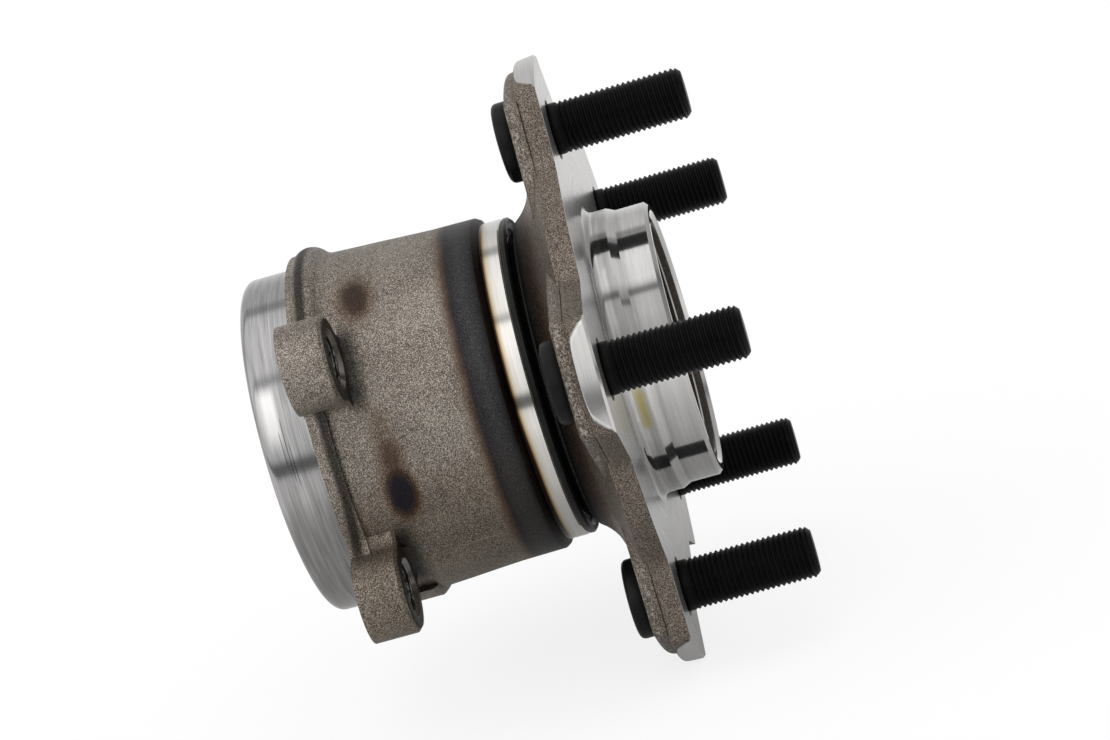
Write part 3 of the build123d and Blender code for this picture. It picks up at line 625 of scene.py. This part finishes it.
def make_thread_tree():
    """Geometry Nodes that cut a V thread into a blank turned about Y, then set the blank in its place."""
    group = bpy.data.node_groups.new("v_thread", "GeometryNodeTree")
    face = group.interface
    face.new_socket("Blank", in_out="INPUT", socket_type="NodeSocketGeometry")
    for name in ("Thread radius", "Pitch", "Depth", "Run-out start", "Run-out end"):
        face.new_socket(name, in_out="INPUT", socket_type="NodeSocketFloat")
    face.new_socket("Place", in_out="INPUT", socket_type="NodeSocketVector")
    face.new_socket("Finish", in_out="INPUT", socket_type="NodeSocketMaterial")
    face.new_socket("Threaded", in_out="OUTPUT", socket_type="NodeSocketGeometry")
    given = group.nodes.new("NodeGroupInput").outputs
    x, y, z = split(group, add_node(group, "GeometryNodeInputPosition").outputs[0])
    radius = axis_distance(group, x, z)

    # The groove's depth follows a helix and fades in over the run-out.
    turns = times(group, maths(group, "ARCTAN2", x, z), 0.5 / pi)
    pitches = maths(group, "DIVIDE", y, given["Pitch"])
    phase = maths(group, "FRACT", maths(group, "SUBTRACT", pitches, turns))
    flank = maths(group, "ABSOLUTE", maths(group, "MULTIPLY_ADD", phase, 2.0, -1.0))
    groove = share_between(group, flank, THREAD_CREST, THREAD_ROOT)
    fade = share_between(group, y, given["Run-out start"], given["Run-out end"])
    left = maths(group, "SUBTRACT", given["Thread radius"], times(group, groove, fade, given["Depth"]))
    least = maths(group, "MAXIMUM", radius, ON_AXIS)
    shrink = maths(group, "DIVIDE", maths(group, "MINIMUM", radius, left), least)
    limit = maths(group, "ADD", given["Thread radius"], THREAD_SLACK)
    moved = {"X": times(group, x, shrink), "Y": y, "Z": times(group, z, shrink)}
    cut = {
        "Geometry": given["Blank"],
        "Selection": maths(group, "LESS_THAN", radius, limit),
        "Position": add_node(group, "ShaderNodeCombineXYZ", moved).outputs[0],
    }
    made = add_node(group, "GeometryNodeSetPosition", cut).outputs[0]
    placed = {"Geometry": made, "Translation": given["Place"]}
    made = add_node(group, "GeometryNodeTransform", placed).outputs[0]
    made = add_node(group, "GeometryNodeRealizeInstances", {"Geometry": made}).outputs[0]
    painted = {"Geometry": made, "Material": given["Finish"]}
    made = add_node(group, "GeometryNodeSetMaterial", painted).outputs[0]
    add_node(group, "NodeGroupOutput", {"Threaded": made})
    return group


def run_nodes(piece, group, values):
    """Runs a Geometry Nodes group on piece once and keeps its result as the piece's plain mesh."""
    modifier = piece.modifiers.new(group.name, "NODES")
    modifier.node_group = group
    for item in group.interface.items_tree:
        if item.in_out == "INPUT" and item.name in values:
            modifier[item.identifier] = values[item.name]
    bpy.context.view_layer.update()
    made = bpy.data.meshes.new_from_object(piece.evaluated_get(bpy.context.evaluated_depsgraph_get()))
    piece.modifiers.remove(modifier)
    blank = piece.data
    piece.data = made
    bpy.data.meshes.remove(blank)
    made.name = piece.name


THREAD_TREE = make_thread_tree()


def make_threaded(name, outline, segments, thread, place, finish):
    """A piece lathed from (radius, y) points, threaded and set at (x, z), all in millimetres."""
    mesh = lathe(name, [(radius / 1000, y / 1000) for radius, y in outline], segments)
    piece = bpy.data.objects.new(name, mesh)
    bpy.context.scene.collection.objects.link(piece)
    values = {measure: value / 1000 for measure, value in thread.items()}
    values["Place"] = (place[0] / 1000, 0, place[1] / 1000)
    values["Finish"] = finish
    run_nodes(piece, THREAD_TREE, values)
    piece.data.shade_smooth()
    piece.data.set_sharp_from_angle(angle=radians(THREAD_SMOOTH))
    return piece


def make_plain_finish(name, size, detail, shades, looks, harshness=0.6, roughness=None, bump=None):
    """A finish that follows one grain: its shades, from one roughness to another, and its bump."""
    finish, tree, shader = new_finish(name)
    noise = grain(tree, point_in_millimetres(tree), size, detail, harshness)
    fill_inputs(tree, shader, {"Base Color": ramp(tree, noise, shades)["Color"], **looks})
    if roughness:
        fill_inputs(tree, shader, {"Roughness": blend_values(tree, noise, *roughness)})
    if bump:
        fill_inputs(tree, shader, {"Normal": raised(tree, noise, *bump)})
    return finish


ear_thread_finish = make_plain_finish(
    "ear_thread_steel",
    size=1.2,
    detail=2.0,
    shades=[(0.35, (0.03, 0.028, 0.024)), (0.7, (0.30, 0.29, 0.26))],
    roughness=(0.32, 0.18),
    looks={"Metallic": 1.0},
)
for index, hole_place in enumerate(EAR_HOLE_PLACES, start=1):
    start_y = SPIGOT_SEAT_Y + EAR_THREAD_INSET
    end_y = EAR_OUTER_Y - EAR_THREAD_INSET
    rings = round((end_y - start_y) / EAR_THREAD_PITCH * EAR_THREAD_STEPS)
    bore = EAR_HOLE_RADIUS - EAR_THREAD_CLEARANCE
    buried = EAR_HOLE_RADIUS + EAR_THREAD_BURIED
    outline = [(bore, start_y + (end_y - start_y) * step / rings) for step in range(rings + 1)]
    outline += [(buried, end_y), (buried, start_y)]
    thread_measures = {
        "Thread radius": bore,
        "Pitch": EAR_THREAD_PITCH,
        "Depth": EAR_THREAD_DEPTH,
        "Run-out start": start_y,
        "Run-out end": start_y + EAR_THREAD_RUN_OUT,
    }
    name = f"ear_thread_{index}"
    thread = make_threaded(name, outline, EAR_THREAD_SEGMENTS, thread_measures, hole_place, ear_thread_finish)
    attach(thread, "outer")


# ---------------------------------------------------------------------------------------------------
# Balls and cages: two rows of polished bearing-steel balls, each row snapped into a moulded polyamide
# cage. They are closed in by the rings and the seals.
# ---------------------------------------------------------------------------------------------------
BALLS_PER_ROW = 13
ball_finish = make_plain_finish(
    "polished_ball_steel",
    size=3.0,
    detail=3.0,
    shades=[(0.3, (0.72, 0.72, 0.73)), (0.7, (0.80, 0.80, 0.81))],
    roughness=(0.05, 0.11),
    looks={"Metallic": 1.0},
)
cage_finish = make_plain_finish(
    "moulded_polyamide",
    size=0.8,
    detail=4.0,
    harshness=0.7,
    shades=[(0.3, (0.60, 0.54, 0.42)), (0.7, (0.72, 0.67, 0.55))],
    bump=(0.3, 0.00008),
    looks={"Roughness": 0.48},
)
for row in ("outboard", "inboard"):
    dress(f"{row}_cage", cage_finish)
    for index in range(1, BALLS_PER_ROW + 1):
        dress(f"{row}_ball_{index:02d}", ball_finish)


# ---------------------------------------------------------------------------------------------------
# Inner ring: the inboard row's own race, of bearing steel hardened through and ground all over. It is
# pressed on the spindle and held by its rolled collar.
# ---------------------------------------------------------------------------------------------------
GROUND_TURNED = (0.06, 0.58, 0.72, 0.22, 0.12)
GROUND_BUMP = (0.2, 0.00002)


def make_ground_finish():
    finish, tree, shader = new_finish("ground_bearing_steel")
    y, _, angle = round_axis(tree, point_in_millimetres(tree))
    colour, roughness, height = turned_steel(tree, y, angle, GROUND_TURNED)
    fill_inputs(tree, shader, {"Base Color": colour, "Roughness": roughness, "Metallic": 1.0})
    fill_inputs(tree, shader, {"Normal": raised(tree, height, *GROUND_BUMP)})
    return finish


dress("inner_ring", make_ground_finish())


# ---------------------------------------------------------------------------------------------------
# Seals: pressed sheet-steel cases with nitrile rubber moulded on them, one at each end. The inboard one
# also has a flinger, which carries the magnetic ring that the wheel-speed sensor reads.
# ---------------------------------------------------------------------------------------------------
SHEET_MARK_SPACING = 0.25
SHEET_STOPS = [(0.3, (0.50, 0.50, 0.50)), (0.7, (0.62, 0.62, 0.61))]
SHEET_ROUGHNESS = (0.3, 0.4)


def make_sheet_finish():
    finish, tree, shader = new_finish("pressed_sheet_steel")
    _, radius, angle = round_axis(tree, point_in_millimetres(tree))
    marks = turning_marks(tree, radius, angle, SHEET_MARK_SPACING)
    colour = ramp(tree, marks, SHEET_STOPS)["Color"]
    roughness = blend_values(tree, marks, *SHEET_ROUGHNESS)
    fill_inputs(tree, shader, {"Base Color": colour, "Roughness": roughness, "Metallic": 1.0})
    return finish


rubber_finish = make_plain_finish(
    "seal_rubber_black",
    size=2.5,
    detail=4.0,
    shades=[(0.35, (0.003, 0.003, 0.003)), (0.75, (0.009, 0.009, 0.008))],
    roughness=(0.22, 0.42),
    bump=(0.25, 0.0001),
    looks={"Specular IOR Level": 0.22},
)
encoder_finish = make_plain_finish(
    "ferrite_rubber",
    size=0.3,
    detail=3.0,
    shades=[(0.3, (0.030, 0.027, 0.024)), (0.7, (0.060, 0.055, 0.050))],
    roughness=(0.5, 0.65),
    looks={},
)
sheet_finish = make_sheet_finish()
dress("outboard_seal_lip", rubber_finish)
dress("inboard_seal_lip", rubber_finish)
for node_name in ("outboard_seal_case", "inboard_seal_case", "inboard_seal_slinger"):
    dress(node_name, sheet_finish)
dress("abs_encoder_ring", encoder_finish)


# ---------------------------------------------------------------------------------------------------
# Hub spindle: a steel forging with the lobed flange. The flange face, the lobe tips, the two registers
# and everything that the bearing runs on are turned; the lobes' sides, back and the pocket stay forged.
# ---------------------------------------------------------------------------------------------------
LOBE_TIP_RADIUS = 73.3
LOBE_TIP_CHAMFER = 0.6
POCKET_RADIUS = 29.35
POCKET_MOUTH_Y = 12.3
NUT_FACE_Y = -4.5
NECK_LIP_Y = -15.5
NECK_LIP_RADIUS = 37.1
BARREL_TURNED = (0.14, 0.60, 0.78, 0.13, 0.07)
FACE_TURNED = (0.25, 0.56, 0.76, 0.34, 0.22)
TIP_TURNED = (0.20, 0.60, 0.74, 0.24, 0.16)
HUB_METAL = 0.95
# Where turned steel begins: on the flat face, in front of it and behind the tips' chamfer.
FACE_YS = (-0.06, -0.02, 0.02, 0.4)
FRONT_YS = (-0.08, -0.02)
CHAMFER_BACK_YS = (-0.7, -0.62)
# Oily scale and painted shade on the neck behind the seal, by distance from the axis: (radius, share of the
# skin's colour).
NECK_SCALE_AND_SHADE = [
    (36.0, (0.02, 0.02, 0.02)),
    (37.2, (0.03, 0.03, 0.03)),
    (38.2, (0.09, 0.08, 0.08)),
    (39.4, (0.17, 0.12, 0.10)),
    (41.0, (0.34, 0.25, 0.20)),
    (42.8, (0.50, 0.42, 0.39)),
    (47.0, (0.64, 0.60, 0.57)),
    (54.0, (0.66, 0.63, 0.61)),
]
# Painted glints: the pads' edges and the flange's root catch light in bright flecks.
PAINTED_GLINT_TINT = (0.66, 0.62, 0.58)
FLECK_SIZE = 0.7
FLECK_RISE = (0.50, 0.66)
PAD_EDGE_YS = (-9.0, -8.2, -6.6, -5.6)
PAD_EDGE_RADII = (54.0, 58.0)
PAD_EDGE_COVER = 0.55
ROOT_RADII = (43.0, 45.0, 48.0, 52.0)
ROOT_ANGLES = [(60, 68, 82, 90), (-58, -50, -38, -30)]
ROOT_COVER = 0.6
# Light and dark rings lie on the two registers: (y, share of the steel's colour).
REGISTER_END_Y = 15.1
REGISTER_RADII = (31.0, 32.0, 34.6, 35.4)
REGISTER_BLUE = 1.01
REGISTER_WANDER = 0.8
REGISTER_WANDER_SIZE = 6.0
REGISTER_RINGS = [
    (0.0, 0.72), (1.1, 0.62), (2.0, 0.95), (2.9, 0.90), (3.7, 0.60), (4.9, 0.66), (5.6, 0.98), (7.0, 0.92),
    (7.6, 0.70), (8.6, 0.90), (11.0, 0.95), (15.1, 0.86),
]
# Painted reflection: the registers are darker over these angles, where the studs in front mirror in them.
STUD_REFLECTION_ANGLES = (4, 10, 37, 44)
STUD_REFLECTION_SHADE = (0.54, 0.54, 0.54)
# Dried oil leaves a yellow stain on the rotor register, and the pocket is browner than the rest.
STAIN_TINT = (0.40, 0.33, 0.08)
STAIN_YS = (1.6, 3.0, 3.6, 5.4)
STAIN_ANGLES = (-19, -13, -2, 4)
STAIN_COVER = 0.75
POCKET_TINT = (0.075, 0.055, 0.040)
POCKET_COVER = 0.45


def scale_shade_and_glint_hub_skin(tree, colour, point, y, radius, angle):
    """The forged skin's colour with oily scale and painted shade on the neck, and painted glints on the
    flange's back.
    """
    start, end = NECK_SCALE_AND_SHADE[0][0], NECK_SCALE_AND_SHADE[-1][0]
    stops = [((place - start) / (end - start), shade) for place, shade in NECK_SCALE_AND_SHADE]
    # Oily scale and painted shade darken the neck towards the seal.
    neck = ramp(tree, share_between(tree, radius, start, end), stops)["Color"]
    colour = blend_colours(tree, 1.0, colour, neck, "MULTIPLY")
    # Painted glints: bright flecks on the pads' edges and the flange's root.
    glinting = times(tree, within(tree, y, *PAD_EDGE_YS), rises(tree, radius, *PAD_EDGE_RADII), PAD_EDGE_COVER)
    at_root = within(tree, radius, *ROOT_RADII)
    for limits in ROOT_ANGLES:
        root_glint = times(tree, at_root, within_degrees(tree, angle, *limits), ROOT_COVER)
        glinting = maths(tree, "MAXIMUM", glinting, root_glint)
    fleck = rises(tree, grain(tree, point, FLECK_SIZE), *FLECK_RISE)
    return blend_colours(tree, times(tree, glinting, fleck), colour, PAINTED_GLINT_TINT)


def ring_registers(tree, colour, point, y, radius, angle):
    """The barrel's colour with light and dark rings on the two registers, and a painted reflection of the
    studs in front.
    """
    centred = maths(tree, "SUBTRACT", y, REGISTER_WANDER / 2)
    wander = maths(tree, "MULTIPLY_ADD", grain(tree, point, REGISTER_WANDER_SIZE), REGISTER_WANDER, centred)
    stops = [(place / REGISTER_END_Y, (grey, grey, grey * REGISTER_BLUE)) for place, grey in REGISTER_RINGS]
    rings = ramp(tree, maths(tree, "DIVIDE", wander, REGISTER_END_Y), stops)["Color"]
    # Painted reflection of the studs: darker over a sector in front.
    rings = blend_colours(tree, within_degrees(tree, angle, *STUD_REFLECTION_ANGLES), rings, STUD_REFLECTION_SHADE, "MULTIPLY")
    return blend_colours(tree, within(tree, radius, *REGISTER_RADII), colour, rings, "MULTIPLY")


def make_hub_finish():
    finish, tree, shader = new_finish("hub_spindle_steel")
    point = point_in_millimetres(tree)
    y, radius, angle = round_axis(tree, point)
    skin, skin_roughness, skin_height, _ = forged_skin(tree, point)
    skin = scale_shade_and_glint_hub_skin(tree, skin, point, y, radius, angle)
    barrel, barrel_roughness, barrel_height = turned_steel(tree, y, angle, BARREL_TURNED)
    face, face_roughness, face_height = turned_steel(tree, radius, angle, FACE_TURNED)
    tip, tip_roughness, _ = turned_steel(tree, y, angle, TIP_TURNED)
    barrel = ring_registers(tree, barrel, point, y, radius, angle)

    # The flat face and the barrel are told apart by place: the face is where y is 0.
    at_face = within(tree, y, *FACE_YS)
    at_tip = rises(tree, radius, LOBE_TIP_RADIUS - 0.16, LOBE_TIP_RADIUS - 0.06)
    cut = blend_colours(tree, at_tip, blend_colours(tree, at_face, barrel, face), tip)
    cut_roughness = blend_values(tree, at_face, barrel_roughness, face_roughness)
    cut_roughness = blend_values(tree, at_tip, cut_roughness, tip_roughness)
    cut_height = times(tree, blend_values(tree, at_face, barrel_height, face_height), TURNED_HEIGHT)

    # Turned zones: everything in front of the face, the tips' chamfer and edge, and what the bearing runs on.
    front = rises(tree, y, *FRONT_YS)
    edge_sum = maths(tree, "ADD", radius, y)
    edge = LOBE_TIP_RADIUS - LOBE_TIP_CHAMFER
    chamfer = times(tree, rises(tree, edge_sum, edge - 0.1, edge - 0.04), rises(tree, y, *CHAMFER_BACK_YS))
    behind_lip = falls(tree, y, NECK_LIP_Y - 0.1, NECK_LIP_Y)
    running = times(tree, behind_lip, falls(tree, radius, NECK_LIP_RADIUS, NECK_LIP_RADIUS + 0.1))
    turned = maths(tree, "MAXIMUM", maths(tree, "MAXIMUM", front, chamfer), at_tip)
    turned = maths(tree, "MAXIMUM", turned, running)
    below_mouth = falls(tree, y, POCKET_MOUTH_Y - 0.2, POCKET_MOUTH_Y)
    pocket = times(tree, falls(tree, radius, POCKET_RADIUS, POCKET_RADIUS + 0.05), below_mouth)
    pocket = times(tree, pocket, rises(tree, y, NUT_FACE_Y + 0.05, NUT_FACE_Y + 0.3))
    turned = times(tree, turned, maths(tree, "SUBTRACT", 1.0, pocket))

    colour = blend_colours(tree, turned, skin, cut)
    stain = times(tree, within(tree, y, *STAIN_YS), within_degrees(tree, angle, *STAIN_ANGLES), STAIN_COVER)
    colour = blend_colours(tree, stain, colour, STAIN_TINT)
    looks = {
        "Base Color": blend_colours(tree, times(tree, pocket, POCKET_COVER), colour, POCKET_TINT),
        "Roughness": blend_values(tree, turned, skin_roughness, cut_roughness),
        "Normal": raised(tree, blend_values(tree, turned, skin_height, cut_height), *STEEL_BUMP),
        "Metallic": HUB_METAL,
    }
    fill_inputs(tree, shader, looks)
    return finish


dress("hub_spindle", make_hub_finish())


# ---------------------------------------------------------------------------------------------------
# Wheel studs: cold-headed steel with rolled threads, black-phosphated and oiled, pressed into the
# flange from behind until the round head seats.
# ---------------------------------------------------------------------------------------------------
STUD_COUNT = 5
STUD_PITCH_RADIUS = 57.15
STUD_FIRST_ANGLE = 13.0
STUD_THREAD_RADIUS = 6.0
STUD_THREAD_PITCH = 1.25
STUD_THREAD_DEPTH = 0.50
STUD_THREAD_STEPS = 12
STUD_RUN_OUT = (1.4, 2.4)
STUD_REACH = 31.4
STUD_TIP_CHAMFER = 1.2
STUD_PLAIN_END = 1.0
STUD_NECK_RADIUS = 5.8
STUD_NECK_YS = (-0.2, -1.6)
STUD_KNURL_RADIUS = 6.4
STUD_KNURL_Y = -2.2
STUD_HEAD_RADIUS = 9.4
STUD_HEAD_SEAT_Y = -8.3
STUD_HEAD_BREAK = 0.15
STUD_HEAD_BACK_Y = -12.5
STUD_HEAD_ROUND = 1.3
STUD_ROUND_STEPS = 8
STUD_HEAD_FROM = -4.0
STUD_SEGMENTS = 60
CRYSTAL_SIZE = 0.35
FILM_SIZE = 4.0
PHOSPHATE_ROUGHNESS = (0.30, 0.46)
PHOSPHATE_BUMP = (0.3, 0.00005)


def make_phosphate_finish(name, dark, light, sheen):
    """Black phosphate: nearly no colour, with a faint oily sheen."""
    finish, tree, shader = new_finish(name)
    point = point_in_millimetres(tree)
    crystals = grain(tree, point, CRYSTAL_SIZE, detail=3.0, roughness=0.7)
    film = grain(tree, point, FILM_SIZE, detail=3.0)
    shade = maths(tree, "MULTIPLY_ADD", film, 0.5, times(tree, crystals, 0.5))
    stops = [(0.35, (dark, dark, dark)), (0.70, (light, light * 0.98, light * 0.95))]
    looks = {
        "Base Color": ramp(tree, shade, stops)["Color"],
        "Roughness": blend_values(tree, shade, *PHOSPHATE_ROUGHNESS),
        "Normal": raised(tree, crystals, *PHOSPHATE_BUMP),
        "Specular IOR Level": sheen,
    }
    fill_inputs(tree, shader, looks)
    return finish


def stud_outline():
    """Half-section of the stud's blank, from the tip's centre to the head's centre."""
    tip_radius = STUD_THREAD_RADIUS - STUD_TIP_CHAMFER
    outline = [(0.0, STUD_REACH), (tip_radius, STUD_REACH)]
    length = STUD_REACH - STUD_PLAIN_END
    rings = round(length / STUD_THREAD_PITCH * STUD_THREAD_STEPS)
    for step in range(1, rings + 1):
        y = STUD_REACH - length * step / rings
        outline.append((min(STUD_THREAD_RADIUS, tip_radius + (STUD_REACH - y)), y))
    outline.append((STUD_THREAD_RADIUS, 0.0))
    outline += [(STUD_NECK_RADIUS, y) for y in STUD_NECK_YS]
    outline += [(STUD_KNURL_RADIUS, y) for y in (STUD_KNURL_Y, STUD_HEAD_SEAT_Y)]
    outline.append((STUD_HEAD_RADIUS - STUD_HEAD_BREAK, STUD_HEAD_SEAT_Y))
    outline.append((STUD_HEAD_RADIUS, STUD_HEAD_SEAT_Y - STUD_HEAD_BREAK))
    for step in range(STUD_ROUND_STEPS + 1):
        bend = radians(90 * step / STUD_ROUND_STEPS)
        radius = STUD_HEAD_RADIUS - STUD_HEAD_ROUND * (1 - cos(bend))
        outline.append((radius, STUD_HEAD_BACK_Y + STUD_HEAD_ROUND * (1 - sin(bend))))
    return outline + [(0.0, STUD_HEAD_BACK_Y)]


thread_finish = make_phosphate_finish("black_phosphate_thread", dark=0.0018, light=0.006, sheen=0.10)
head_finish = make_phosphate_finish("black_phosphate_head", dark=0.003, light=0.009, sheen=0.20)
stud_thread_measures = {
    "Thread radius": STUD_THREAD_RADIUS,
    "Pitch": STUD_THREAD_PITCH,
    "Depth": STUD_THREAD_DEPTH,
    "Run-out start": STUD_RUN_OUT[0],
    "Run-out end": STUD_RUN_OUT[1],
}
for index in range(STUD_COUNT):
    stud_turn = radians(STUD_FIRST_ANGLE + 360 / STUD_COUNT * index)
    stud_place = (STUD_PITCH_RADIUS * cos(stud_turn), STUD_PITCH_RADIUS * sin(stud_turn))
    name = f"threaded_stud_{index + 1}"
    stud = make_threaded(name, stud_outline(), STUD_SEGMENTS, stud_thread_measures, stud_place, thread_finish)
    stud.data.materials.append(head_finish)
    for face in stud.data.polygons:
        if face.center[1] < STUD_HEAD_FROM / 1000:
            face.material_index = 1
    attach(stud, "hub")
    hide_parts(f"wheel_stud_{index + 1}")
